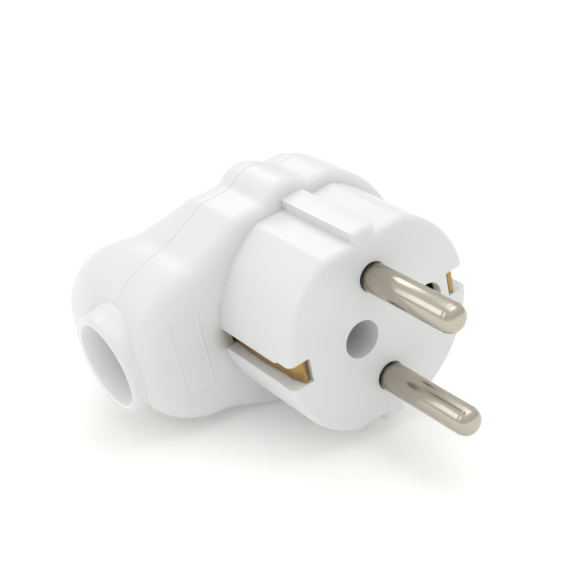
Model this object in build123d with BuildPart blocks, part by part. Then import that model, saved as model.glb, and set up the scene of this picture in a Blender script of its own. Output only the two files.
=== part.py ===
"""Angled mains plug with two round pins, side earth contacts and a screwed rear cover.

The plug's own axes are used throughout. X points out of the plug along its pins and is zero at
the nose's front face. Y runs sideways, and the cord would leave towards -Y. Z follows the line of
the two pins. The plug lies on its side on a table, rolled about X until its hump and its shoulder
both touch, so each plane below is the plug's own plane turned by that roll.
"""

import os
from math import asin, atan2, cos, radians, sin, sqrt

from build123d import *

os.makedirs("parts", exist_ok=True)

# Pins, as the standard gives them.
pin_radius = 2.4
pin_spacing = 19.0
pin_length = 19.2
pin_rounding = 2.3
shank_radius = 1.9
root_recess = 1.0

# Nose: a round block with two flats, a guide rib on each flat and an earth slot at each side.
nose_radius = 18.05
nose_length = 18.0
nose_flat_cut = 1.75
nose_wall = 2.0
nose_edge = 1.1
nose_corner = 2.0
face_thickness = 3.5
rib_width = 4.2

# Earth slots and the brass strip in them.
slot_width = 5.0
slot_depth = 3.05
strip_thickness = 0.8
strip_width = 4.2
strip_clearance = 0.2
strip_bow = 0.5
strip_bend = 1.2
slot_wall = 1.5
bracket_length = 27.0
bracket_width = 8.0
hook_width = 5.4
hook_rise = 0.2
hook_length = 3.0
hook_inset = 0.7
hook_recess = 0.4
notch_step = 1.0
notch_corner = 1.0

# Housing behind the nose, in two shells.
housing_wall = 2.0
front_wall = 2.2
front_depth = 9.7
rear_straight = 0.4
rear_depth = 8.5
rear_rounding = 5.9
dome_straight = 2.8
dome_depth = 19.0
dome_rounding = 9.0
dome_drift = 5.0
dome_wall = 1.5
rounding_turns = (0, 21, 42, 63, 84)
housing_margin = 2.0
flat_cut = 1.65
hump_height = 2.0
hump_radius = 5.5
hump_shift = -0.7
tail_reach = 19.6
tail_radius = 14.1
shoulder_reach = 10.7
shoulder_rounding = 4.0
tail_blend = 6.0
hump_blend = 2.2
front_edge = 1.9

# Cord entry collar at the end of the tail.
mouth_radius = 7.4
collar_radius = 8.8
collar_stand = 1.2
collar_lip = 0.9
mouth_lip = 0.4
guide_wall = 1.5
guide_depth = 8.5

# Plain raised frame on the front shell.
frame_shift = -24.2
frame_height = 14.4
frame_width = 5.6
frame_line = 0.5
frame_relief = 0.15

# Holes in the face.
screw_hole_radius = 3.2
screw_hole_shift = -4.0
screw_hole_depth = 13.2
earth_hole_radius = 2.65
earth_hole_shift = 9.8

# Metal parts inside.
running_gap = 0.1
socket_radius = 2.45
socket_wall = 0.5
socket_recess = 1.5
socket_flange = 1.0
pin_collar_radius = 4.2
terminal_radius = 3.5
terminal_length = 9.0
earth_terminal_radius = 2.9
earth_terminal_shift = -11.5
rivet_radius = 1.3
rivet_head = 0.5
washer_side = 6.0
washer_thickness = 0.8
boss_wall = 1.9

# Screws.
terminal_thread = 1.5
terminal_screw_head = 2.7
terminal_screw_length = 4.5
small_thread = 1.1
small_head = 2.2
small_screw_length = 6.5
assembly_thread = 1.5
assembly_head = 2.8
assembly_screw_length = 16.0
head_height = 1.7
drive_slot = 0.8

# Plate that holds the pins and the earth bracket down.
retainer_thickness = 2.0
retainer_gap = 1.0
retainer_cable_side = 6.0
retainer_far_side = 12.2
retainer_screw_shift = 8.0
retainer_screw_rise = 8.5
boss_radius = 2.7

# Post of the rear cover with its threaded brass insert.
post_radius = 3.7
insert_radius = 2.6
insert_length = 8.0
press_gap = 0.02
tip_clearance = 1.0

# Cord clamp.
clamp_setback = 1.9
clamp_width = 5.5
clamp_rise = 8.45
clamp_half_length = 10.7
clamp_thickness = 2.0
clamp_lift = 0.5
cord_radius = 4.2
saddle_half_width = 5.4
saddle_height = 5.0

# Places along X that follow from the sizes above.
housing_face = -nose_length
inner_face = housing_face - front_wall
parting = housing_face - front_depth
plate_front = inner_face - strip_thickness
plate_back = plate_front - retainer_thickness
terminal_end = plate_front - terminal_length
cover_floor = parting - rear_depth + housing_wall
screw_seat = -screw_hole_depth
pin_rise = pin_spacing / 2
nose_flat = nose_radius - nose_flat_cut
slot_floor = nose_radius - slot_depth
notch_floor = slot_floor - notch_step
housing_radius = nose_radius + housing_margin
flat_half = housing_radius - flat_cut
hump_top = flat_half + hump_height
hump_centre = hump_top - hump_radius
collar_reach = tail_reach + tail_radius + collar_stand
clamp_shift = -tail_reach - clamp_setback
retainer_radius = flat_half - housing_wall - retainer_gap
strip_middle = slot_floor + strip_clearance + strip_thickness / 2
strip_outside = strip_middle + strip_thickness / 2 + strip_bow
bend_relief = strip_bend - strip_thickness / 2
clamp_seat = parting + clamp_lift
notch_length = hook_length + hook_recess + notch_corner / 2
assembly_reach = plate_front - screw_seat + assembly_screw_length + tip_clearance
retainer_screws = [(retainer_screw_shift, turn * retainer_screw_rise) for turn in (1, -1)]
clamp_screws = [(0, turn * clamp_rise) for turn in (1, -1)]

# The shoulder's rounding is centred here, and the line that touches it and the hump is the table.
flank_angle = atan2(flat_half - tail_radius, tail_reach - shoulder_reach)
shoulder_y = -shoulder_reach + shoulder_rounding * (1 - cos(flank_angle)) / sin(flank_angle)
shoulder_z = flat_half - shoulder_rounding
touch_run = hump_shift - shoulder_y
touch_rise = hump_centre - shoulder_z
roll = atan2(touch_rise, touch_run) + asin(
    (hump_radius - shoulder_rounding) / sqrt(touch_run**2 + touch_rise**2)
)

# The plug's own Y and Z directions once it lies on the table.
side = Vector(0, cos(roll), sin(roll))
up = Vector(0, -sin(roll), cos(roll))


def across(x, y=0.0, z=0.0):
    """A plane square to the pins: its own axes are the plug's Y and Z."""
    return Plane(origin=Vector(x, 0, 0) + side * y + up * z, x_dir=side, z_dir=(1, 0, 0))


def end_on(y, x=0.0):
    """A plane square to the cord: its own axes are the plug's X and Z, and it faces the cord."""
    return Plane(origin=Vector(x, 0, 0) + side * y, x_dir=(1, 0, 0), z_dir=-side)


def sideways(turn):
    """A plane at a notch's floor that faces away from the axis: its axes are X and the plug's Z."""
    return Plane(origin=side * (turn * notch_floor), x_dir=(1, 0, 0), z_dir=side * turn)


def lengthwise(z):
    """A plane square to the line of pins: its own axes are the plug's X and Y."""
    return Plane(origin=up * z, x_dir=(1, 0, 0), z_dir=up)


def nose_block(back, inset=0.0):
    """Round nose with a flat above and below, from X = back to the face, less an inset."""
    with BuildPart() as block:
        with BuildSketch(across(back)) as section:
            Circle(nose_radius - inset)
            Rectangle(2 * housing_radius, 2 * (nose_flat - inset), mode=Mode.INTERSECT)
            fillet(section.vertices(), nose_corner)
        extrude(amount=-back - (face_thickness if inset else 0))
        if not inset:
            face = block.faces().filter_by(Axis.X).sort_by(Axis.X)[-1]
            fillet(face.edges(), nose_edge)
    return block.part


def rib_bar():
    """Guide ribs: a bar across the whole nose, whose two ends stand proud of the flats."""
    with BuildPart() as bar:
        with BuildSketch(across(inner_face)):
            Circle(nose_radius)
            Rectangle(rib_width, 2 * housing_radius, mode=Mode.INTERSECT)
        extrude(amount=-inner_face)
        face = bar.faces().filter_by(Axis.X).sort_by(Axis.X)[-1]
        fillet(face.edges(), nose_edge)
    return bar.part


def housing_section(inset):
    """Outline of the housing, drawn in by inset: disc, tail, straight flanks and two humps."""
    flat = flat_half - inset
    with BuildSketch() as section:
        Circle(housing_radius - inset)
        Rectangle(2 * housing_radius, 2 * flat, mode=Mode.INTERSECT)
        with Locations((-tail_reach, 0)):
            Circle(tail_radius - inset)
        with BuildLine():
            Polyline(
                (-tail_reach, tail_radius - inset),
                (-shoulder_reach, flat),
                (0, flat),
                (0, -flat),
                (-shoulder_reach, -flat),
                (-tail_reach, -tail_radius + inset),
                close=True,
            )
        make_face()
        with Locations((hump_shift, hump_centre - inset), (hump_shift, inset - hump_centre)):
            Circle(hump_radius)
        reach = sqrt((housing_radius - inset) ** 2 - flat**2)
        foot = sqrt(hump_radius**2 - (flat_half - hump_centre) ** 2)
        for turn in (1, -1):
            corners = section.vertices()
            fillet(nearest(corners, -tail_reach, turn * (tail_radius - inset)), tail_blend)
            fillet(nearest(section.vertices(), -shoulder_reach, turn * flat), shoulder_rounding)
            fillet(nearest(section.vertices(), hump_shift - foot, turn * flat), hump_blend)
            fillet(nearest(section.vertices(), hump_shift + foot, turn * flat), hump_blend)
            fillet(nearest(section.vertices(), reach, turn * flat), shoulder_rounding)
    return section.sketch


def nearest(corners, y, z):
    """The corner that lies nearest to a point of the sketch."""
    return corners.sort_by_distance((y, z, 0))[0]


def rounded_steps(straight, depth, rounding):
    """Places along X and insets of the sections that round a form off in a quarter ellipse."""
    for turn in rounding_turns:
        angle = radians(turn)
        yield parting - straight - (depth - straight) * sin(angle), rounding * (1 - cos(angle))


def rear_form(wall):
    """Rear cover's form less a wall: the housing's outline, straight and then rounded off."""
    with BuildPart() as form:
        with BuildSketch(across(parting)):
            add(housing_section(wall))
        extrude(amount=-rear_straight)
        for place, inset in rounded_steps(rear_straight, rear_depth - wall, rear_rounding - wall):
            with BuildSketch(across(place)):
                add(housing_section(wall + inset))
        loft(ruled=True)
    return form.part


def tail_dome(wall):
    """Deep dome behind the tail less a wall: round sections that draw in and drift to the cord."""
    with BuildPart() as dome:
        with BuildSketch(across(parting, -tail_reach)):
            Circle(tail_radius - wall)
        extrude(amount=-dome_straight)
        for place, inset in rounded_steps(dome_straight, dome_depth - wall, dome_rounding):
            drift = inset * dome_drift / dome_rounding
            with BuildSketch(across(place, -tail_reach - drift)):
                Circle(tail_radius - wall - inset)
        loft(ruled=True)
    return dome.part


def collar_shape():
    """Cylinder of the cord entry collar with its rounded lip, as one solid."""
    with BuildPart() as collar:
        with BuildSketch(end_on(-tail_reach, parting)):
            Circle(collar_radius)
        extrude(amount=collar_reach - tail_reach)
        rim = collar.faces().sort_by(Axis(origin=(0, 0, 0), direction=-side))[-1]
        fillet(rim.edges(), collar_lip)
    return collar.part


def guide_shape():
    """Tube that leads the cord from the collar into the housing."""
    with BuildPart() as guide:
        with BuildSketch(end_on(-collar_reach + guide_depth, parting)):
            Circle(mouth_radius + guide_wall)
        extrude(amount=guide_depth - collar_lip - guide_wall)
    return guide.part


def mouth_shape():
    """The bore of the collar and its guide tube, flared a little at the lip."""
    with BuildPart() as mouth:
        with BuildSketch(end_on(-collar_reach + guide_depth, parting)):
            Circle(mouth_radius)
        extrude(amount=guide_depth)
        with BuildSketch(end_on(-collar_reach + mouth_lip, parting)):
            Circle(mouth_radius)
        with BuildSketch(end_on(-collar_reach, parting)):
            Circle(mouth_radius + mouth_lip)
        loft()
    return mouth.part


def slotted_screw(seat, y, z, head_radius, thread_radius, length, tip):
    """Pan head screw with a driving slot. Its head seats at X = seat, and tip is 1 or -1."""
    with BuildPart() as screw:
        with BuildSketch(across(seat, y, z)):
            Circle(head_radius)
        extrude(amount=-tip * head_height)
        with BuildSketch(across(seat - tip * head_height, y, z)):
            Rectangle(drive_slot, 2 * head_radius)
        extrude(amount=tip * head_height / 2, mode=Mode.SUBTRACT)
        with BuildSketch(across(seat, y, z)):
            Circle(thread_radius)
        extrude(amount=tip * length)
    return screw


def clamp_washer(y, z):
    """Square washer under a terminal screw."""
    with BuildPart() as washer:
        with BuildSketch(across(terminal_end, y, z)):
            Rectangle(washer_side, washer_side)
            Circle(terminal_thread + running_gap, mode=Mode.SUBTRACT)
        extrude(amount=-washer_thickness)
    return washer


def contact_pin(z):
    """Turned pin with a round nose, a collar that seats on its boss and a tapped terminal end."""
    with BuildPart() as pin:
        with BuildSketch(across(0, 0, z)):
            Circle(pin_radius)
        extrude(amount=pin_length)
        tip = pin.faces().filter_by(Axis.X).sort_by(Axis.X)[-1]
        fillet(tip.edges(), pin_rounding)
        with BuildSketch(across(plate_front, 0, z)):
            Circle(shank_radius)
        extrude(amount=-plate_front)
        with BuildSketch(across(plate_front, 0, z)):
            Circle(pin_collar_radius)
        extrude(amount=strip_thickness)
        with BuildSketch(across(terminal_end, 0, z)):
            Circle(terminal_radius)
        extrude(amount=terminal_length)
        with BuildSketch(across(terminal_end, 0, z)):
            Circle(terminal_thread + running_gap)
        extrude(amount=terminal_screw_length + running_gap, mode=Mode.SUBTRACT)
    return pin


def terminal_screw(y, z):
    """Screw of a terminal, through the washer and into the terminal's end."""
    seat = terminal_end - washer_thickness
    return slotted_screw(
        seat, y, z, terminal_screw_head, terminal_thread, terminal_screw_length, 1
    )


def small_screw(seat, y, z):
    """Self tapping screw that goes forward into a boss of the body."""
    return slotted_screw(seat, y, z, small_head, small_thread, small_screw_length, 1)


def bracket_band():
    """The bent strip of the earth bracket, seen along the line of the pins."""
    with BuildSketch() as band:
        for turn in (1, -1):
            with BuildLine():
                FilletPolyline(
                    (plate_front + strip_thickness / 2, 0),
                    (plate_front + strip_thickness / 2, turn * strip_middle),
                    (plate_front / 2, turn * (strip_middle + strip_bow)),
                    (-hook_length, turn * strip_middle),
                    (-hook_recess, turn * (strip_middle - hook_inset)),
                    radius=strip_bend,
                )
            trace(line_width=strip_thickness)
    return band.sketch


# Front body: nose and front shell in one moulding.
with BuildPart() as plug_body:
    with BuildSketch(across(parting)):
        add(housing_section(0))
    extrude(amount=front_depth)
    front_rim = plug_body.faces().filter_by(Axis.X).sort_by(Axis.X)[-1]
    fillet(front_rim.edges(), front_edge)
    add(collar_shape())
    split(bisect_by=across(parting), keep=Keep.TOP)

    # The shell's cavity, and the nose in front of it with its own hollow.
    with BuildSketch(across(parting)):
        add(housing_section(housing_wall))
    extrude(amount=front_depth - front_wall, mode=Mode.SUBTRACT)
    add(nose_block(inner_face))
    add(rib_bar())
    add(nose_block(inner_face, nose_wall), mode=Mode.SUBTRACT)

    # Inside the hollow: walls of the earth slots, and bosses for the pins, screws and socket.
    with BuildSketch(across(inner_face)):
        for turn in (1, -1):
            with Locations((turn * (slot_floor - slot_wall / 2), 0)):
                Rectangle(slot_wall, slot_width + 2 * slot_wall)
            with Locations((turn * (slot_floor + nose_wall / 2), 0)):
                Rectangle(nose_wall, slot_width + 2 * slot_wall)
    extrude(amount=-inner_face - face_thickness)
    with BuildSketch(across(inner_face)):
        with Locations((0, pin_rise), (0, -pin_rise)):
            Circle(pin_radius + boss_wall)
        with Locations((screw_hole_shift, 0)):
            Circle(screw_hole_radius + boss_wall / 2)
        with Locations((earth_hole_shift, 0)):
            Circle(socket_radius + socket_wall + boss_wall)
    extrude(amount=-inner_face - face_thickness)
    with BuildSketch(across(plate_front)):
        with Locations(*retainer_screws):
            Circle(boss_radius)
    extrude(amount=-plate_front - face_thickness)

    # Saddle under the cord and the two posts of its clamp.
    with BuildSketch(across(inner_face, clamp_shift)):
        Rectangle(clamp_width, 2 * saddle_half_width)
    extrude(amount=-saddle_height)
    with BuildSketch(across(inner_face, clamp_shift)):
        with Locations(*clamp_screws):
            Circle(boss_radius)
    extrude(amount=clamp_seat - inner_face)
    with BuildSketch(end_on(clamp_shift + clamp_width, parting)):
        Circle(cord_radius)
    extrude(amount=2 * clamp_width, mode=Mode.SUBTRACT)

    # Cord guide, kept to the front shell, with the mouth bored through it.
    with BuildPart(mode=Mode.PRIVATE) as front_guide:
        add(guide_shape())
        split(bisect_by=across(parting), keep=Keep.TOP)
    add(front_guide.part)
    add(mouth_shape(), mode=Mode.SUBTRACT)

    # Earth slots along the nose, a narrow way on through the front wall, and the notch in the face.
    with BuildSketch(across(housing_face)):
        for turn in (1, -1):
            with Locations((turn * (slot_floor + nose_radius) / 2, 0)):
                Rectangle(nose_radius - slot_floor, slot_width)
    extrude(amount=nose_length, mode=Mode.SUBTRACT)
    with BuildSketch(across(inner_face)):
        for turn in (1, -1):
            with Locations((turn * (slot_floor + strip_outside) / 2, 0)):
                Rectangle(strip_outside - slot_floor, slot_width)
    extrude(amount=front_wall, mode=Mode.SUBTRACT)
    with BuildSketch(across(inner_face)):
        for turn in (1, -1):
            with Locations((turn * (slot_floor - bend_relief / 2), 0)):
                Rectangle(bend_relief, slot_width)
    extrude(amount=bend_relief, mode=Mode.SUBTRACT)
    for turn in (1, -1):
        with BuildSketch(sideways(turn)):
            with Locations((-notch_length / 2, -turn * hook_rise)):
                Rectangle(notch_length, hook_width + 2 * strip_clearance)
            with Locations((notch_corner, -turn * hook_rise)):
                RectangleRounded(
                    2 * notch_length + 2 * notch_corner,
                    hook_width + 2 * strip_clearance,
                    notch_corner,
                    mode=Mode.INTERSECT,
                )
        extrude(amount=nose_radius - notch_floor, mode=Mode.SUBTRACT)

    # Holes: pins, assembly screw, earth pin and the pilot holes of the small screws.
    with BuildSketch(across(-root_recess)):
        with Locations((0, pin_rise), (0, -pin_rise)):
            Circle(pin_radius + running_gap)
    extrude(amount=root_recess, mode=Mode.SUBTRACT)
    with BuildSketch(across(inner_face)):
        with Locations((0, pin_rise), (0, -pin_rise)):
            Circle(shank_radius + running_gap)
        with Locations((screw_hole_shift, 0)):
            Circle(assembly_thread + 2 * running_gap)
        with Locations((earth_hole_shift, 0)):
            Circle(earth_hole_radius)
    extrude(amount=-inner_face, mode=Mode.SUBTRACT)
    with BuildSketch(across(screw_seat, screw_hole_shift)):
        Circle(screw_hole_radius)
    extrude(amount=screw_hole_depth, mode=Mode.SUBTRACT)
    with BuildSketch(across(inner_face, earth_hole_shift)):
        Circle(socket_radius + socket_wall + running_gap)
    extrude(amount=-inner_face - socket_recess, mode=Mode.SUBTRACT)
    with BuildSketch(across(plate_front)):
        with Locations(*retainer_screws):
            Circle(small_thread + running_gap)
    extrude(amount=small_screw_length, mode=Mode.SUBTRACT)
    with BuildSketch(across(clamp_seat, clamp_shift)):
        with Locations(*clamp_screws):
            Circle(small_thread + running_gap)
    extrude(amount=small_screw_length, mode=Mode.SUBTRACT)

    # Plain raised frame where the real one carries lettering.
    with BuildSketch(across(housing_face, frame_shift)):
        RectangleRounded(frame_width, frame_height, frame_line)
        RectangleRounded(
            frame_width - 2 * frame_line,
            frame_height - 2 * frame_line,
            frame_line / 2,
            mode=Mode.SUBTRACT,
        )
    extrude(amount=frame_relief)
plug_body.part.label = "plug_body"
export_step(plug_body.part, "parts/plug_body.step")


# Rear cover: a shell with a rounded back and a deep dome behind the tail, and a post for the screw.
with BuildPart() as rear_cover:
    add(rear_form(0))
    add(tail_dome(0))
    add(collar_shape())
    split(bisect_by=across(parting), keep=Keep.BOTTOM)
    add(rear_form(housing_wall), mode=Mode.SUBTRACT)
    add(tail_dome(dome_wall), mode=Mode.SUBTRACT)
    with BuildSketch(across(plate_front, screw_hole_shift)):
        Circle(post_radius)
    extrude(amount=cover_floor - plate_front)
    with BuildPart(mode=Mode.PRIVATE) as rear_guide:
        add(guide_shape())
        split(bisect_by=across(parting), keep=Keep.BOTTOM)
    add(rear_guide.part)
    add(mouth_shape(), mode=Mode.SUBTRACT)
    with BuildSketch(across(plate_front, screw_hole_shift)):
        Circle(insert_radius)
    extrude(amount=-insert_length, mode=Mode.SUBTRACT)
    with BuildSketch(across(plate_front, screw_hole_shift)):
        Circle(assembly_thread + running_gap)
    extrude(amount=-assembly_reach, mode=Mode.SUBTRACT)
rear_cover.part.label = "rear_cover"
export_step(rear_cover.part, "parts/rear_cover.step")


# Pins, each with its clamp washer and terminal screw.
live_pin = contact_pin(pin_rise)
live_pin.part.label = "live_pin"
export_step(live_pin.part, "parts/live_pin.step")

neutral_pin = contact_pin(-pin_rise)
neutral_pin.part.label = "neutral_pin"
export_step(neutral_pin.part, "parts/neutral_pin.step")

live_clamp_washer = clamp_washer(0, pin_rise)
live_clamp_washer.part.label = "live_clamp_washer"
export_step(live_clamp_washer.part, "parts/live_clamp_washer.step")

neutral_clamp_washer = clamp_washer(0, -pin_rise)
neutral_clamp_washer.part.label = "neutral_clamp_washer"
export_step(neutral_clamp_washer.part, "parts/neutral_clamp_washer.step")

live_terminal_screw = terminal_screw(0, pin_rise)
live_terminal_screw.part.label = "live_terminal_screw"
export_step(live_terminal_screw.part, "parts/live_terminal_screw.step")

neutral_terminal_screw = terminal_screw(0, -pin_rise)
neutral_terminal_screw.part.label = "neutral_terminal_screw"
export_step(neutral_terminal_screw.part, "parts/neutral_terminal_screw.step")


# Earth bracket: one brass strip bent to a U, whose two legs end in wide hooks at the nose's face.
with BuildPart() as earth_bracket:
    with BuildSketch(lengthwise(-strip_width / 2)):
        add(bracket_band())
    extrude(amount=strip_width)
    with BuildPart(mode=Mode.PRIVATE) as hooks:
        with BuildSketch(lengthwise(hook_rise - hook_width / 2)):
            add(bracket_band())
        extrude(amount=hook_width)
        split(bisect_by=across(-hook_recess - hook_length), keep=Keep.TOP)
    add(hooks.part)
    with BuildSketch(across(plate_front)):
        RectangleRounded(bracket_length, bracket_width, strip_width / 2)
    extrude(amount=strip_thickness)
    with BuildSketch(across(plate_front)):
        with Locations((screw_hole_shift, 0)):
            Circle(assembly_thread + 2 * running_gap)
        with Locations((earth_hole_shift, 0)):
            Circle(socket_radius + socket_wall + running_gap)
        with Locations((earth_terminal_shift, 0)):
            Circle(rivet_radius + running_gap)
    extrude(amount=strip_thickness, mode=Mode.SUBTRACT)
earth_bracket.part.label = "earth_bracket"
export_step(earth_bracket.part, "parts/earth_bracket.step")


# Earth socket: a flanged brass tube behind the hole in the face.
with BuildPart() as earth_socket:
    with BuildSketch(across(plate_front, earth_hole_shift)):
        Circle(socket_radius + socket_wall + socket_flange)
    extrude(amount=-strip_thickness)
    with BuildSketch(across(plate_front, earth_hole_shift)):
        Circle(socket_radius + socket_wall)
    extrude(amount=-plate_front - socket_recess)
    with BuildSketch(across(plate_front - strip_thickness, earth_hole_shift)):
        Circle(socket_radius)
    extrude(amount=strip_thickness - plate_front - socket_recess, mode=Mode.SUBTRACT)
earth_socket.part.label = "earth_socket"
export_step(earth_socket.part, "parts/earth_socket.step")


# Earth terminal: a turned post riveted through the bracket, with its own washer and screw.
with BuildPart() as earth_terminal:
    with BuildSketch(across(plate_front, earth_terminal_shift)):
        Circle(earth_terminal_radius)
    extrude(amount=-terminal_length)
    with BuildSketch(across(plate_front, earth_terminal_shift)):
        Circle(rivet_radius)
    extrude(amount=strip_thickness)
    with BuildSketch(across(inner_face, earth_terminal_shift)):
        Circle(rivet_radius + rivet_head)
    extrude(amount=rivet_head)
    with BuildSketch(across(terminal_end, earth_terminal_shift)):
        Circle(terminal_thread + running_gap)
    extrude(amount=terminal_screw_length + running_gap, mode=Mode.SUBTRACT)
earth_terminal.part.label = "earth_terminal"
export_step(earth_terminal.part, "parts/earth_terminal.step")

earth_clamp_washer = clamp_washer(earth_terminal_shift, 0)
earth_clamp_washer.part.label = "earth_clamp_washer"
export_step(earth_clamp_washer.part, "parts/earth_clamp_washer.step")

earth_terminal_screw = terminal_screw(earth_terminal_shift, 0)
earth_terminal_screw.part.label = "earth_terminal_screw"
export_step(earth_terminal_screw.part, "parts/earth_terminal_screw.step")


# Contact retainer: a plate over the pins' collars, open at one side for the cover's post.
with BuildPart() as contact_retainer:
    with BuildSketch(across(plate_front)):
        Circle(retainer_radius)
        with Locations(((retainer_far_side - retainer_cable_side) / 2, 0)):
            Rectangle(
                retainer_far_side + retainer_cable_side, 2 * retainer_radius, mode=Mode.INTERSECT
            )
        with Locations((0, pin_rise), (0, -pin_rise)):
            Circle(terminal_radius + running_gap, mode=Mode.SUBTRACT)
        with Locations((screw_hole_shift, 0)):
            Circle(post_radius + 2 * running_gap, mode=Mode.SUBTRACT)
        with Locations((screw_hole_shift - post_radius, 0)):
            Rectangle(2 * post_radius, 2 * post_radius, mode=Mode.SUBTRACT)
        with Locations((earth_hole_shift, 0)):
            Circle(
                socket_radius + socket_wall + socket_flange + running_gap, mode=Mode.SUBTRACT
            )
        with Locations(*retainer_screws):
            Circle(small_thread + running_gap, mode=Mode.SUBTRACT)
    extrude(amount=-retainer_thickness)
contact_retainer.part.label = "contact_retainer"
export_step(contact_retainer.part, "parts/contact_retainer.step")

upper_retainer_screw = small_screw(plate_back, *retainer_screws[0])
upper_retainer_screw.part.label = "upper_retainer_screw"
export_step(upper_retainer_screw.part, "parts/upper_retainer_screw.step")

lower_retainer_screw = small_screw(plate_back, *retainer_screws[1])
lower_retainer_screw.part.label = "lower_retainer_screw"
export_step(lower_retainer_screw.part, "parts/lower_retainer_screw.step")


# Cord clamp: a bar arched over the cord, screwed down on its two posts.
with BuildPart() as cord_clamp:
    with BuildSketch(end_on(clamp_shift + clamp_width / 2, parting)):
        Circle(cord_radius + clamp_thickness)
        with Locations((clamp_lift - clamp_thickness / 2, 0)):
            Rectangle(clamp_thickness, 2 * clamp_half_length)
        with Locations((clamp_lift - cord_radius - clamp_thickness, 0)):
            Rectangle(
                2 * (cord_radius + clamp_thickness), 2 * clamp_half_length, mode=Mode.INTERSECT
            )
        Circle(cord_radius, mode=Mode.SUBTRACT)
    extrude(amount=clamp_width)
    with BuildSketch(across(clamp_seat, clamp_shift)):
        with Locations(*clamp_screws):
            Circle(small_thread + running_gap)
    extrude(amount=-clamp_thickness, mode=Mode.SUBTRACT)
cord_clamp.part.label = "cord_clamp"
export_step(cord_clamp.part, "parts/cord_clamp.step")

upper_clamp_screw = small_screw(clamp_seat - clamp_thickness, clamp_shift, clamp_rise)
upper_clamp_screw.part.label = "upper_clamp_screw"
export_step(upper_clamp_screw.part, "parts/upper_clamp_screw.step")

lower_clamp_screw = small_screw(clamp_seat - clamp_thickness, clamp_shift, -clamp_rise)
lower_clamp_screw.part.label = "lower_clamp_screw"
export_step(lower_clamp_screw.part, "parts/lower_clamp_screw.step")


# Assembly screw from the face, and the brass insert that it pulls on in the cover's post.
assembly_screw = slotted_screw(
    screw_seat, screw_hole_shift, 0, assembly_head, assembly_thread, assembly_screw_length, -1
)
assembly_screw.part.label = "assembly_screw"
export_step(assembly_screw.part, "parts/assembly_screw.step")

with BuildPart() as assembly_insert:
    with BuildSketch(across(plate_front, screw_hole_shift)):
        Circle(insert_radius - press_gap)
        Circle(assembly_thread + running_gap, mode=Mode.SUBTRACT)
    extrude(amount=-insert_length)
assembly_insert.part.label = "assembly_insert"
export_step(assembly_insert.part, "parts/assembly_insert.step")
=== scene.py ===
"""Looks of the angled mains plug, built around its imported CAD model.

The plug's own axes are used for sizes: X out of the plug along its pins, zero at the nose's face,
Y sideways with the cord entry towards -Y, and Z along the line of the two pins. All are millimetres.
"""
from math import cos, pi, radians, sin

import bmesh
import bpy
import numpy as np
from mathutils import Matrix, Vector


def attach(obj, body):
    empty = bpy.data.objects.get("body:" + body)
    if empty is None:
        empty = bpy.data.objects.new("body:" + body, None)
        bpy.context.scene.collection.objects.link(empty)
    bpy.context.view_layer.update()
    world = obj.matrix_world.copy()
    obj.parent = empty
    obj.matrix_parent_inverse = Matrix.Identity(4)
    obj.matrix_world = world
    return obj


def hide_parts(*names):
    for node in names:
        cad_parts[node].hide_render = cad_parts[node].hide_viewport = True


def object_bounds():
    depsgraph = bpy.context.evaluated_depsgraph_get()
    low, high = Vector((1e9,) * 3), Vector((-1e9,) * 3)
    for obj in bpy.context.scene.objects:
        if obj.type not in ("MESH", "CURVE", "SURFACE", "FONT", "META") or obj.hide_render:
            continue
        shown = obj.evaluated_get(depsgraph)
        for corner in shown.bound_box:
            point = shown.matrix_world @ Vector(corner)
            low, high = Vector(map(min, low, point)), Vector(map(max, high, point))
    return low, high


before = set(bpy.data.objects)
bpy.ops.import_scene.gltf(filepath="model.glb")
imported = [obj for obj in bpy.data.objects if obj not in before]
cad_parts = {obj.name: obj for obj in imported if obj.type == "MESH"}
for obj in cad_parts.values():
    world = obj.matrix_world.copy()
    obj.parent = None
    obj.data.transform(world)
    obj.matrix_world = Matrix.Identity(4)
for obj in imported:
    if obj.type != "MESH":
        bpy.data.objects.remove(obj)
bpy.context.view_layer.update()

# Front shell of the housing: white thermoplastic, injected in one moulding with the nose. Its
# outline is a disc with two flats, a tail towards the cord and a hump above and below, and the
# screw in the face pulls it onto the rear shell.
millimetre = 0.001
plug_roll = radians(12.640033)
housing_face = -18.0
ledge = -17.98
inner_face = -20.2
parting = -27.7
parting_lip = 0.16
shell_wall = 1.6
edge_least = 1.9
edge_gain = 1.4
edge_gain_start = -6.0
edge_gain_length = 20.0
disc_radius = 20.05
flat_height = 18.4
flat_corner = 0.33
flank_angle = radians(25.79)
flank_corner = 0.4
flank_end = 28.0
tail_radius = 14.1
tail_reach = 19.6
tail_blend = 0.6
hump_radius = 5.5
hump_across = -0.7
hump_height = 14.9
hump_blend = 0.86
nose_radius = 18.05
nose_flat = 16.3
nose_overlap = 1.5
ray_centre = -6.0
ray_length = 45.0
outline_steps = 480


def placed(x, y, z):
    """Points of the plug's axes as the frame's metres: a turn about X by the plug's roll."""
    x, y, z = np.broadcast_arrays(x, y, z)
    turned = [x, y * cos(plug_roll) - z * sin(plug_roll), y * sin(plug_roll) + z * cos(plug_roll)]
    return np.stack(turned, axis=-1) * millimetre


def joined(a, b, blend):
    """Smaller of two distances, with a rounded inner corner: less (blend - |a - b|)^2 / 4 blend."""
    overlap = np.maximum(blend - np.abs(a - b), 0)
    return np.minimum(a, b) - overlap**2 / (4 * blend)


def trimmed(a, b, blend):
    """Larger of two distances, with a rounded outer corner, as joined() with both signs turned."""
    return -joined(-a, -b, blend)


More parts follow.
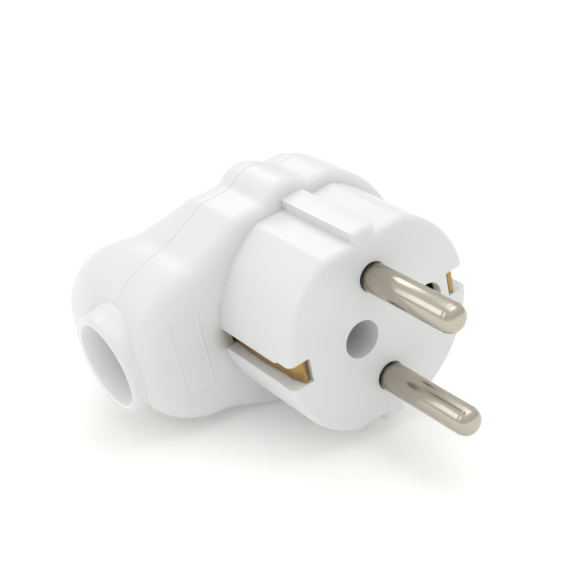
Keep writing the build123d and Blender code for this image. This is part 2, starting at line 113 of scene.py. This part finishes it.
def outline_distance(y, z):
    """Distance outside the housing's outline: disc cut by the flats, the flank's straight line to
    the tail, the tail's disc and the hump's disc, each joined to the next with its own blend."""
    rise = np.abs(z)
    flat = rise - flat_height
    disc = trimmed(np.hypot(y, rise) - disc_radius, flat, flat_corner)
    flank = (rise - tail_radius) * cos(flank_angle) - (y + tail_reach) * sin(flank_angle)
    flank = trimmed(flank, flat, flank_corner)
    flank = np.maximum(np.maximum(flank, y), -flank_end - y)
    tail = np.hypot(y + tail_reach, rise) - tail_radius
    hump = np.hypot(y - hump_across, rise - hump_height) - hump_radius
    return joined(joined(np.minimum(disc, flank), tail, tail_blend), hump, hump_blend)


def nose_distance(y, z):
    """Distance outside the nose's outline: a disc cut by two flats."""
    return np.maximum(np.hypot(y, z) - nose_radius, np.abs(z) - nose_flat)


def reach(distance, inset, angle):
    """How far a ray goes from the ray centre before the distance is -inset, by halving."""
    inset, angle = np.broadcast_arrays(inset, angle)
    near = np.zeros(inset.shape)
    far = np.full(inset.shape, ray_length)
    for _ in range(40):
        middle = (near + far) / 2
        outside = distance(ray_centre + middle * np.cos(angle), middle * np.sin(angle)) > -inset
        near, far = np.where(outside, near, middle), np.where(outside, middle, far)
    return near


def surface_mesh(name, points, poles=False):
    """Mesh of a grid of points [row, column]: a quad between each four neighbours. Columns close
    round, and rows close round too or end in poles. Faces are turned outwards by the volume."""
    rows, columns = points.shape[:2]
    index = np.arange(rows * columns).reshape(rows, columns)
    after = np.roll(index, -1, axis=1)
    above = np.roll(index, -1, axis=0)
    last = rows - 1 if poles else rows
    quads = np.stack([index, after, np.roll(after, -1, axis=0), above], axis=-1)[:last]
    faces = quads.reshape(-1, 4).tolist()
    vertices = points.reshape(-1, 3)
    if poles:
        vertices = np.vstack([vertices, points[0].mean(axis=0), points[-1].mean(axis=0)])
        ends = [np.full(columns, rows * columns), np.full(columns, rows * columns + 1)]
        faces += np.stack([ends[0], after[0], index[0]], axis=-1).tolist()
        faces += np.stack([ends[1], index[-1], after[-1]], axis=-1).tolist()
    mesh = bpy.data.meshes.new(name)
    mesh.from_pydata(vertices.tolist(), [], faces)
    corners = vertices[quads.reshape(-1, 4)]
    normals = np.cross(corners[:, 2] - corners[:, 0], corners[:, 3] - corners[:, 1])
    if np.einsum("ij,ij->", corners.mean(axis=1) - vertices.mean(axis=0), normals) < 0:
        mesh.flip_normals()
    mesh.polygons.foreach_set("use_smooth", np.ones(len(faces), bool))
    mesh.update()
    return mesh


def shown(mesh, finish, slot, *nodes):
    """The mesh as a piece that rides on the root body and stands for the CAD nodes named."""
    piece = bpy.data.objects.new(mesh.name, mesh)
    bpy.context.scene.collection.objects.link(piece)
    mesh.materials.clear()
    mesh.materials.append(finish)
    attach(piece, "root")
    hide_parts(*nodes)
    return piece


class Socket:
    """A shader socket, on which Python's operators add Math nodes."""

    def __init__(self, finish, socket):
        self.finish = finish
        self.socket = socket

    def maths(self, operation, *values):
        """A Math node with the operation on the values."""
        return self.finish.node("ShaderNodeMath", {"operation": operation}, *values)

    def __add__(self, other):
        return self.maths("ADD", self, other)

    __radd__ = __add__

    def __sub__(self, other):
        return self.maths("SUBTRACT", self, other)

    def __rsub__(self, other):
        return self.maths("SUBTRACT", other, self)

    def __mul__(self, other):
        return self.maths("MULTIPLY", self, other)

    __rmul__ = __mul__


class Finish:
    """A material with its shader, and the one method that adds any other node."""

    def __init__(self, name, **constants):
        self.material = bpy.data.materials.new(name)
        self.material.use_nodes = True
        self.tree = self.material.node_tree
        self.shader = self.tree.nodes["Principled BSDF"]
        for socket, value in constants.items():
            self.set(socket.replace("_", " "), value)

    def feed(self, socket, value):
        """Links the socket if the value is another socket, and otherwise sets it."""
        if isinstance(value, Socket):
            self.tree.links.new(value.socket, socket)
        else:
            socket.default_value = value

    def set(self, socket, value):
        """Feeds one of the shader's own sockets."""
        self.feed(self.shader.inputs[socket], value)

    def node(self, kind, settings, *values, output=0, **named):
        """A new node: its settings first, then its sockets in order, then those by name."""
        node = self.tree.nodes.new(kind)
        for setting, value in settings.items():
            setattr(node, setting, value)
        for socket, value in zip(node.inputs, values):
            self.feed(socket, value)
        for socket, value in named.items():
            self.feed(node.inputs[socket.replace("_", " ")], value)
        return Socket(self, node.outputs[output])

    def place(self, scale=(1, 1, 1)):
        """Object coordinates, turned back by the plug's roll and scaled."""
        here = self.node("ShaderNodeTexCoord", {}, output=3)
        return self.node(
            "ShaderNodeMapping", {}, Vector=here, Rotation=(-plug_roll, 0, 0), Scale=scale
        )

    def noise(self, scale, detail=2.0, stretch=(1, 1, 1)):
        """Noise from 0 to 1, with so many waves to a metre, along the plug's axes."""
        return self.node(
            "ShaderNodeTexNoise", {}, Vector=self.place(stretch), Scale=scale, Detail=detail
        )

    def between(self, share, low, high):
        """The colour that goes from low to high as the share goes from 0 to 1."""
        return self.node("ShaderNodeMix", {"data_type": "RGBA"}, share, output=2, A=low, B=high)

    def bump(self, height, strength, depth):
        """Feeds the shader a normal that a height from 0 to 1 tilts, for a depth in metres."""
        self.set("Normal", self.node(
            "ShaderNodeBump", {}, Strength=strength, Distance=depth, Height=height
        ))


def white_finish(name):
    """Glossy white thermoplastic, and the tone of its base: a faint cloud in its whiteness. It has
    a fine moulded texture."""
    finish = Finish(name, IOR=1.5)
    tone = finish.between(finish.noise(90.0), (0.725, 0.73, 0.735, 1), (0.745, 0.75, 0.755, 1))
    finish.set("Base Color", tone)
    finish.set("Roughness", 0.30 + 0.06 * finish.noise(600.0))
    finish.bump(finish.noise(2500.0, 3.0), 0.12, 0.00005)
    return finish, tone


def eased(share):
    """The share kept within 0 and 1 and made level at both ends: 3 share^2 - 2 share^3."""
    share = np.clip(share, 0, 1)
    return share**2 * (3 - 2 * share)


white_plastic = white_finish("white_plastic")[0].material
around = np.linspace(0, 2 * pi, outline_steps, endpoint=False)[None, :]
lip_turn = np.linspace(0, pi / 2, 4)[:, None]
edge_turn = np.linspace(0, pi / 2, 10)[:, None]
outline_y = ray_centre + reach(outline_distance, 0.0, around) * np.cos(around)
edge_radius = edge_least + edge_gain * eased((edge_gain_start - outline_y) / edge_gain_length)


def shell_points(rows):
    """Points of a shell from rows of (X, reach), each one value for each ray."""
    x = np.vstack([np.broadcast_to(x, (np.shape(x)[0], outline_steps)) for x, _ in rows])
    r = np.vstack([np.broadcast_to(r, (np.shape(x)[0], outline_steps)) for x, r in rows])
    return placed(x, ray_centre + r * np.cos(around), r * np.sin(around))


def outline_reach(inset):
    """Reach of each ray to the housing's outline, drawn in by the inset."""
    return reach(outline_distance, inset, around)


def row(value):
    """One value for a whole row."""
    return np.full((1, 1), value)


def lip(side, turn):
    """X and inset of the rounding along the parting: a small quarter circle on one side of it."""
    return parting + side * parting_lip * (1 - np.cos(turn)), parting_lip * (1 - np.sin(turn))


def front_shell():
    """Rows go from the parting over the outside, the front edge's quarter circle and the ledge
    round the nose, then down through the hole under the nose and back along the inner wall."""
    lip_x, lip_inset = lip(1, lip_turn)
    wall_steps = np.linspace(0.1, 0.9, 5)[:, None]
    wall_top = ledge - edge_radius
    wall_x = lip_x[-1] + (wall_top - lip_x[-1]) * wall_steps
    edge_x = wall_top + edge_radius * np.sin(edge_turn)
    edge_inset = edge_radius * (1 - np.cos(edge_turn))
    ledge_from = outline_reach(edge_radius)
    hole = reach(nose_distance, nose_overlap, around)
    ledge_steps = np.linspace(0.25, 1, 4)[:, None]
    inside = outline_reach(row(shell_wall))
    return shell_points([
        (lip_x, outline_reach(lip_inset)),
        (wall_x, np.repeat(outline_reach(row(0.0)), len(wall_steps), axis=0)),
        (edge_x, outline_reach(edge_inset)),
        (np.full(ledge_steps.shape, ledge), ledge_from + (hole - ledge_from) * ledge_steps),
        (row(inner_face), hole),
        (row(inner_face), inside),
        (row(parting), inside),
    ])


shown(surface_mesh("front_shell", front_shell()), white_plastic, "white_plastic", "plug_body")

# Frame on the tail's front: a low rounded bead in a plain rounded rectangle, moulded with the
# front shell in the same white plastic.
frame_middle = -24.2
frame_half = (2.55, 6.95)
frame_corner = 0.4
frame_turn = np.linspace(0, 2 * pi, 96, endpoint=False)
frame_section = np.array([
    (-0.32, -0.2), (-0.26, 0.02), (-0.1, 0.07), (0.1, 0.07), (0.26, 0.02), (0.32, -0.2),
])


def frame_points():
    """The section, of (out, X) points, carried along a rounded rectangle. The direction outwards
    turns evenly, and each place is its corner's centre plus that direction times the radius."""
    out_y, out_z = np.cos(frame_turn), np.sin(frame_turn)
    path_y = np.sign(out_y) * (frame_half[0] - frame_corner) + frame_corner * out_y
    path_z = np.sign(out_z) * (frame_half[1] - frame_corner) + frame_corner * out_z
    out, x = frame_section[:, :1], frame_section[:, 1:]
    return placed(housing_face + x, frame_middle + path_y + out * out_y, path_z + out * out_z)


shown(surface_mesh("marking_frame", frame_points()), white_plastic, "white_plastic", "plug_body")

# Rear shell: the same plastic, a cover whose back is rounded off all round and swells to a deep
# dome behind the tail. The screw from the face draws its post against the front shell.
back_depth = 8.12
back_rounding = 6.62
back_straight = 0.29
dome_depth = 19.77
dome_rounding = 6.0
dome_straight = 6.57
swell_start = -7.0
swell_length = 27.0


def swelling(back, dome):
    """A size for each ray, from the back's to the dome's as the outline nears the tail's end."""
    return back + (dome - back) * eased((swell_start - outline_y) / swell_length)


def rear_rounding(wall, turn):
    """X and reach of a shell's quarter ellipse, from the straight side to the flat of the back."""
    straight = swelling(back_straight, dome_straight)
    rounding = swelling(back_rounding, dome_rounding)
    x = parting - straight - (swelling(back_depth, dome_depth) - straight - wall) * np.sin(turn)
    return x, outline_reach(wall + (rounding - wall) * (1 - np.cos(turn)))


def back_of(x, reach_out, share):
    """X and reach from the rounding's end to the pole: the X of the points round the rim, averaged
    with weights that fall off with the fourth power of the distance to each."""
    rim_y, rim_z = reach_out[0] * np.cos(around[0]), reach_out[0] * np.sin(around[0])
    away_y, away_z = rim_y - (share * rim_y)[..., None], rim_z - (share * rim_z)[..., None]
    weight = (away_y**2 + away_z**2) ** -2
    return (weight * x[0]).sum(axis=-1) / weight.sum(axis=-1), reach_out * share


def rear_shell():
    """Rows go from a pole in the middle of the back over its rounding and the outside to the
    parting, and then back along the inner wall to a pole of the cavity's floor."""
    turn = np.linspace(pi / 2, 0, 20)[:, None]
    share = np.linspace(0.06, 0.94, 14)[:, None]
    outer = rear_rounding(0.0, turn)
    inner = rear_rounding(shell_wall, turn[::-1])
    lip_x, lip_inset = lip(-1, lip_turn[::-1])
    return shell_points([
        back_of(outer[0][:1], outer[1][:1], share),
        outer,
        (lip_x, outline_reach(lip_inset)),
        (row(parting), outline_reach(row(shell_wall))),
        inner,
        back_of(inner[0][-1:], inner[1][-1:], share[::-1]),
    ])


rear_mesh = surface_mesh("rear_shell", rear_shell(), poles=True)
shown(rear_mesh, white_plastic, "white_plastic", "rear_cover")

# Nose: the round block that goes into the socket outlet, one moulding with the front shell. It
# has a guide rib on each flat, an earth slot at each side, and holes for the screw and earth pin.
weld_distance = 0.000002
nose_root = housing_face - 0.5
nose_room_front = 2.0
nose_room_radius = 18.35
nose_room_core = 0.5
nose_edge = 0.22
slot_middle = 0.2
slot_share = 0.74
slot_inside = 13.4
slot_half = 2.52
notch_start = -5.0
notch_half = 3.12


def merged_copy(node):
    """A copy of a CAD node's mesh, with its loose triangles welded together."""
    bm = bmesh.new()
    bm.from_mesh(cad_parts[node].data)
    bmesh.ops.remove_doubles(bm, verts=bm.verts, dist=weld_distance)
    mesh = bpy.data.meshes.new(node + "_copy")
    bm.to_mesh(mesh)
    bm.free()
    return mesh


def carved(mesh, tool, operation):
    """The mesh less the tool's solid, or what the two share, as a new mesh of the same name."""
    body, cutter = (bpy.data.objects.new(m.name, m) for m in (mesh, tool))
    for part in (body, cutter):
        bpy.context.scene.collection.objects.link(part)
    cut = body.modifiers.new("cut", "BOOLEAN")
    cut.object = cutter
    cut.operation = operation
    cut.solver = "EXACT"
    bpy.context.view_layer.update()
    graph = bpy.context.evaluated_depsgraph_get()
    result = bpy.data.meshes.new_from_object(body.evaluated_get(graph))
    result.name = mesh.name
    bpy.data.objects.remove(body)
    bpy.data.objects.remove(cutter)
    return result


def smoothed(mesh, name, flat_within=0.6):
    """The mesh with its flat faces made whole and smooth shading, under a new name."""
    bm = bmesh.new()
    bm.from_mesh(mesh)
    bmesh.ops.dissolve_limit(bm, angle_limit=radians(flat_within), verts=bm.verts, edges=bm.edges)
    bm.to_mesh(mesh)
    bm.free()
    mesh.name = name
    mesh.polygons.foreach_set("use_smooth", np.ones(len(mesh.polygons), bool))
    return mesh


def softened(piece, width, sharp_from=32):
    """Rounds the piece's sharp edges by a small bevel and keeps its flat faces flat to the eye."""
    bevel = piece.modifiers.new("rounded edges", "BEVEL")
    bevel.width = width * millimetre
    bevel.segments = 2
    bevel.limit_method = "ANGLE"
    bevel.angle_limit = radians(sharp_from)
    weighted = piece.modifiers.new("flat faces", "WEIGHTED_NORMAL")
    weighted.keep_sharp = False


def turned(profile, centre, axis, steps):
    """Points of a surface of revolution: each (along, radius) of the profile goes round the axis
    from the centre. The axis is "pin" for X or "cord" for -Y."""
    turn = np.linspace(0, 2 * pi, steps, endpoint=False)[None, :]
    along = np.array([p[0] for p in profile])[:, None]
    radius = np.array([p[1] for p in profile])[:, None]
    x0, y0, z0 = centre
    if axis == "pin":
        return placed(x0 + along, y0 + radius * np.cos(turn), z0 + radius * np.sin(turn))
    return placed(x0 + radius * np.cos(turn), y0 - along, z0 + radius * np.sin(turn))


def pinched(mesh, wall_height, notch_height):
    """Narrows the earth slots, or what lies in them, to their real width: each point out there
    has its height above the slot's middle multiplied by slot_share."""
    points = np.empty(len(mesh.vertices) * 3)
    mesh.vertices.foreach_get("co", points)
    points = points.reshape(-1, 3) / millimetre
    across = points[:, 1] * cos(plug_roll) + points[:, 2] * sin(plug_roll)
    rise = points[:, 2] * cos(plug_roll) - points[:, 1] * sin(plug_roll)
    limit = np.where(points[:, 0] > notch_start, notch_height, wall_height)
    drop = np.where(
        (np.abs(rise) < limit) & (np.abs(across) > slot_inside),
        (rise - slot_middle) * (slot_share - 1), 0.0,
    )
    points[:, 1] -= drop * sin(plug_roll)
    points[:, 2] += drop * cos(plug_roll)
    mesh.vertices.foreach_set("co", (points * millimetre).ravel())
    mesh.update()
    return mesh


nose_room_profile = [
    (nose_root, nose_room_core), (nose_root, nose_room_radius),
    (nose_room_front, nose_room_radius), (nose_room_front, nose_room_core),
]
nose_room = surface_mesh(
    "nose_room", turned(nose_room_profile, (0, 0, 0), "pin", 120), poles=True
)
nose_part = carved(merged_copy("plug_body"), nose_room, "INTERSECT")
nose = smoothed(pinched(nose_part, slot_half, notch_half), "nose_block")
softened(shown(nose, white_plastic, "white_plastic", "plug_body"), nose_edge)

# Inside of the front shell: the cord's saddle, its two posts and the screw bosses, all moulded
# with the shell. They can be seen a little through the cord entry.
room_inset = 1.0
room_top = housing_face - 1.0
room_core = 0.02
room_reach = outline_reach(row(room_inset))
room_rows = [
    (row(parting), room_reach * room_core), (row(parting), room_reach),
    (row(room_top), room_reach), (row(room_top), room_reach * room_core),
]
inside_room = surface_mesh("inside_room", shell_points(room_rows), poles=True)
inside = smoothed(carved(merged_copy("plug_body"), inside_room, "INTERSECT"), "front_inside")
shown(inside, white_plastic, "white_plastic", "plug_body")

# Cord collar: a short round spout at the end of the tail, half on each shell, with a rounded
# lip. A guide tube leads on into the housing, and the cord would come out here.
mouth_radius = 7.38
mouth_lip = 0.4
collar_radius = 8.8
collar_lip = 0.9
collar_end = 34.9
foot_radius = 9.4
guide_radius = 8.4
guide_end = 26.4
painted_glow_radius = 7.6
painted_glow_to = -30.5
painted_shade_from = -28.5
painted_glow_slope = 0.55


def arc(centre, radius, start, end, steps):
    """Points of an arc as (along, radius) pairs, from one angle to another in degrees."""
    angles = np.radians(np.linspace(start, end, steps))
    return [(centre[0] + radius * cos(a), centre[1] + radius * sin(a)) for a in angles]


def collar_finish_painted_glow():
    """The white plastic, with painted light and painted shade in its bore, within painted_glow_radius
    of the cord's axis. The bore glows with painted light, by emission, up to a slanted plane, Y +
    painted_glow_slope Z = painted_glow_to, fading to a faint glow past it, and from
    painted_shade_from on its colour greys to a painted shade."""
    finish, tone = white_finish("white_plastic_collar")
    here = finish.node("ShaderNodeSeparateXYZ", {}, finish.place())
    x, y, z = (Socket(finish, axis) for axis in here.socket.node.outputs)
    from_axis = x - parting * millimetre
    square = from_axis * from_axis + z * z
    bore = square.maths("LESS_THAN", square, (painted_glow_radius * millimetre) ** 2)
    painted_glow = finish.node(
        "ShaderNodeMapRange", {"interpolation_type": "SMOOTHSTEP"},
        y + z * painted_glow_slope, painted_glow_to * millimetre, painted_shade_from * millimetre, 1.0, 0.0,
    )
    # Base colour: deeper in the bore it greys to a beige grey, a painted shade.
    finish.set("Base Color", finish.between(bore * (1.0 - painted_glow), tone, (0.60, 0.58, 0.52, 1)))
    # Emission: the bore glows brightest near the mouth, a painted light in a part that is no lamp.
    finish.set("Emission Strength", 1.0)
    finish.set("Emission Color", finish.between(
        bore * (0.03 + painted_glow * 0.17), (0, 0, 0, 1), (1, 1, 0.98, 1)
    ))
    return finish.material


collar_profile = (
    [(guide_end, mouth_radius), (guide_end, guide_radius), (28.2, guide_radius)]
    + [(28.4, foot_radius), (29.6, foot_radius), (30.8, 9.2), (31.8, 8.95), (32.8, collar_radius)]
    + arc((collar_end - collar_lip, collar_radius - collar_lip), collar_lip, 90, 0, 8)
    + arc((collar_end - mouth_lip, mouth_radius + mouth_lip), mouth_lip, 0, -90, 5)
)
collar = surface_mesh("cord_collar", turned(collar_profile, (parting, 0, 0), "cord", 128))
shown(collar, collar_finish_painted_glow(), "white_plastic", "plug_body", "rear_cover")

# Opening for the collar: both shells are moulded with half of a round hole at the end of the
# tail, and the collar with its guide tube fills it.
opening_radius = 7.9
opening_core = 0.4
opening_start = 27.4
opening_end = 36.5
opening_profile = [
    (opening_start, opening_core), (opening_start, opening_radius),
    (opening_end, opening_radius), (opening_end, opening_core),
]
for name in ("front_shell", "rear_shell"):
    opening = surface_mesh(
        "opening", turned(opening_profile, (parting, 0, 0), "cord", 96), poles=True
    )
    shell = bpy.data.objects[name]
    shell.data = carved(shell.data, opening, "DIFFERENCE")

# Pins: turned brass, nickel plated, with a domed tip. Each is pressed through the nose and is
# seated on its collar inside, where its end is drilled for the terminal screw.
pin_radius = 2.4
pin_length = 19.2
pin_rise = 9.5
neck_radius = 1.9
seat_radius = 4.2
seat_back = -21.0
terminal_radius = 3.5
terminal_end = -30.0
screw_hole_radius = 1.6
screw_hole_end = -25.4
screw_hole_core = 0.3
shaft_middle = 8.0
tip_depth = 1.75
tip_step = 0.1
tip_step_length = 0.06
tip_fullness = 0.85
tip_start = pin_length - tip_depth
tip_radius = pin_radius - tip_step


def nickel_finish():
    """Bright nickel with fine turning lines round the pin."""
    finish = Finish("pin_nickel", Metallic=1.0)
    lines = finish.noise(1.0, 3.0, (9000, 300, 300))
    finish.set("Base Color", finish.between(
        finish.noise(220.0), (0.46, 0.425, 0.35, 1), (0.54, 0.50, 0.42, 1)
    ))
    finish.set("Roughness", 0.17 + 0.10 * lines)
    finish.bump(lines, 0.1, 0.00002)
    return finish.material


def cornered(profile, size=0.08):
    """The profile with each of its corners cut by a small chamfer, so that smooth shading turns
    the edge there and leaves the faces beside it flat."""
    points = [profile[0]]
    for before, corner, after in zip(profile, profile[1:], profile[2:]):
        for end in (before, after):
            away = (end[0] - corner[0], end[1] - corner[1])
            share = min(size / max((away[0] ** 2 + away[1] ** 2) ** 0.5, 1e-6), 0.3)
            points.append((corner[0] + away[0] * share, corner[1] + away[1] * share))
    return points + [profile[-1]]


def tip_point(angle):
    """Point of the tip's dome: an ellipse whose cosine and sine are raised to tip_fullness."""
    return tip_start + tip_depth * cos(angle) ** tip_fullness, tip_radius * sin(angle) ** tip_fullness


nickel = nickel_finish()
pin_profile = cornered([
    (screw_hole_end, screw_hole_core), (screw_hole_end, screw_hole_radius),
    (terminal_end, screw_hole_radius), (terminal_end, terminal_radius),
    (seat_back, terminal_radius), (seat_back, seat_radius),
    (inner_face, seat_radius), (inner_face, neck_radius),
    (0.0, neck_radius), (0.0, pin_radius), (shaft_middle, pin_radius),
    (tip_start, pin_radius), (tip_start + tip_step_length, tip_radius),
]) + [tip_point(angle) for angle in np.radians(np.linspace(84, 5, 16))]
for name, height in (("live_pin", pin_rise), ("neutral_pin", -pin_rise)):
    shaft = surface_mesh(
        name + "_shaft", turned(pin_profile, (0, 0, height), "pin", 96), poles=True
    )
    shown(shaft, nickel, "pin_nickel", name)

# Brass pieces: the earth bracket is one strip bent to a U, which runs along both earth slots and
# ends in a wide hook at the nose's face. The earth socket is a rolled tube, its terminal a turned
# post that is riveted through the bracket, and the insert a threaded bush.
metal_edge = 0.08
bracket_half = 3.0


def brass_finish():
    """Rolled brass, yellow, a little dull, with fine lines along the strip."""
    finish = Finish("brass_strip", Metallic=1.0)
    grain = finish.noise(1.0, 3.0, (120, 4000, 4000))
    finish.set("Base Color", finish.between(
        finish.noise(300.0), (0.34, 0.21, 0.06, 1), (0.50, 0.34, 0.13, 1)
    ))
    finish.set("Roughness", 0.24 + 0.12 * grain)
    finish.bump(grain, 0.1, 0.00002)
    return finish.material


brass = brass_finish()
for node in ("earth_bracket", "earth_socket", "earth_terminal", "assembly_insert"):
    metal = merged_copy(node)
    if node == "earth_bracket":
        pinched(metal, bracket_half, bracket_half)
    softened(shown(smoothed(metal, node + "_metal"), brass, "brass_strip", node), metal_edge)

# Screws and washers: zinc plated steel. They are inside, apart from the assembly screw, whose
# head shows at the bottom of the hole in the face.


def steel_finish():
    """Zinc plated steel, grey and slightly uneven."""
    finish = Finish("screw_steel", Metallic=1.0)
    finish.set("Base Color", finish.between(
        finish.noise(400.0), (0.50, 0.50, 0.50, 1), (0.62, 0.62, 0.61, 1)
    ))
    finish.set("Roughness", 0.28 + 0.15 * finish.noise(900.0))
    return finish.material


steel = steel_finish()
for node in [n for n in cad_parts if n.endswith("screw") or n.endswith("washer")]:
    screw = smoothed(merged_copy(node), node + "_metal")
    softened(shown(screw, steel, "screw_steel", node), metal_edge)

# Retainer plate and cord clamp: plain grey plastic mouldings inside the housing. The plate is
# screwed down over the pins' seats and the bracket, and the clamp over the cord.
inner_edge = 0.15


def inner_finish():
    """Dull grey plastic with a fine uneven tone."""
    finish = Finish("inner_plastic", IOR=1.5)
    finish.set("Base Color", finish.between(
        finish.noise(150.0), (0.55, 0.54, 0.50, 1), (0.60, 0.59, 0.55, 1)
    ))
    finish.set("Roughness", 0.5 + 0.1 * finish.noise(700.0))
    return finish.material


inner = inner_finish()
for node in ("contact_retainer", "cord_clamp"):
    moulding = smoothed(merged_copy(node), node + "_plastic")
    softened(shown(moulding, inner, "inner_plastic", node), inner_edge)

# Table top and light: a wide matt white board under a soft bright sky that is a little stronger
# overhead, with one soft lamp above, one behind and one to the left.
floor_half = 4.0
floor_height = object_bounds()[0][2]
floor_corners = ((-1, -1), (1, -1), (1, 1), (-1, 1))
floor_mesh = bpy.data.meshes.new("floor")
floor_mesh.from_pydata(
    [(x * floor_half, y * floor_half, floor_height) for x, y in floor_corners], [], [(0, 1, 2, 3)]
)
floor = bpy.data.objects.new("floor", floor_mesh)
bpy.context.scene.collection.objects.link(floor)
table_top = Finish("table_top", Roughness=0.9)
table_top.set("Base Color", (0.92, 0.92, 0.90, 1))
table_top.set("Emission Color", (1, 1, 0.98, 1))
table_top.set("Emission Strength", 0.13)
floor_mesh.materials.append(table_top.material)

world = bpy.data.worlds.new("studio")
bpy.context.scene.world = world
world.use_nodes = True
sky = world.node_tree.nodes["Background"]
direction = world.node_tree.nodes.new("ShaderNodeTexCoord")
height = world.node_tree.nodes.new("ShaderNodeSeparateXYZ")
strength = world.node_tree.nodes.new("ShaderNodeMapRange")
for socket, value in (("From Min", 0.0), ("From Max", 0.8), ("To Min", 0.72), ("To Max", 0.92)):
    strength.inputs[socket].default_value = value
world.node_tree.links.new(direction.outputs["Generated"], height.inputs["Vector"])
world.node_tree.links.new(height.outputs["Z"], strength.inputs["Value"])
world.node_tree.links.new(strength.outputs["Result"], sky.inputs["Strength"])
sky.inputs["Color"].default_value = (1, 1, 1, 1)

for name, place, size, power in (
    ("top_light", (0.0, 0.1, 0.8), 0.7, 1.7),
    ("back_light", (-0.58, 0.15, 0.52), 0.3, 0.55),
    ("left_light", (-0.35, -0.6, 0.35), 0.4, 0.55),
):
    lamp = bpy.data.lights.new(name, "AREA")
    lamp.shape = "SQUARE"
    lamp.size = size
    lamp.energy = power
    holder = bpy.data.objects.new(name, lamp)
    bpy.context.scene.collection.objects.link(holder)
    facing = (-Vector(place)).to_track_quat("-Z", "Y").to_matrix().to_4x4()
    holder.matrix_world = Matrix.Translation(place) @ facing

# Camera: its place and lens were fitted for the plug at a slightly larger roll, so it is turned
# about X with the plug, back to the roll at which the plug rests on the table.
camera_turn = radians(53.7325)
camera_rise = radians(24.9205)
camera_distance = 199.8115
camera_right = -15.0528
camera_up = 6.5481
fitted_roll = radians(13.5723)
focal_pixels = 1287.54
picture_pixels = 570
sensor_width = 36.0
right = Vector((cos(camera_turn), sin(camera_turn), 0))
upward = Vector((
    -sin(camera_turn) * sin(camera_rise), cos(camera_turn) * sin(camera_rise), cos(camera_rise)
))
back = Vector((
    sin(camera_turn) * cos(camera_rise), -cos(camera_turn) * cos(camera_rise), sin(camera_rise)
))
camera_place = (back * camera_distance + right * camera_right + upward * camera_up) * millimetre
camera_data = bpy.data.cameras.new("camera")
camera_data.sensor_width = sensor_width
camera_data.lens = sensor_width * focal_pixels / picture_pixels
camera_data.clip_start = 0.01
camera = bpy.data.objects.new("camera", camera_data)
bpy.context.scene.collection.objects.link(camera)
camera.matrix_world = (
    Matrix.Rotation(plug_roll - fitted_roll, 4, "X")
    @ Matrix.Translation(camera_place)
    @ Matrix((right, upward, back)).transposed().to_4x4()
)
bpy.context.scene.camera = camera
bpy.context.scene.view_settings.view_transform = "Standard"
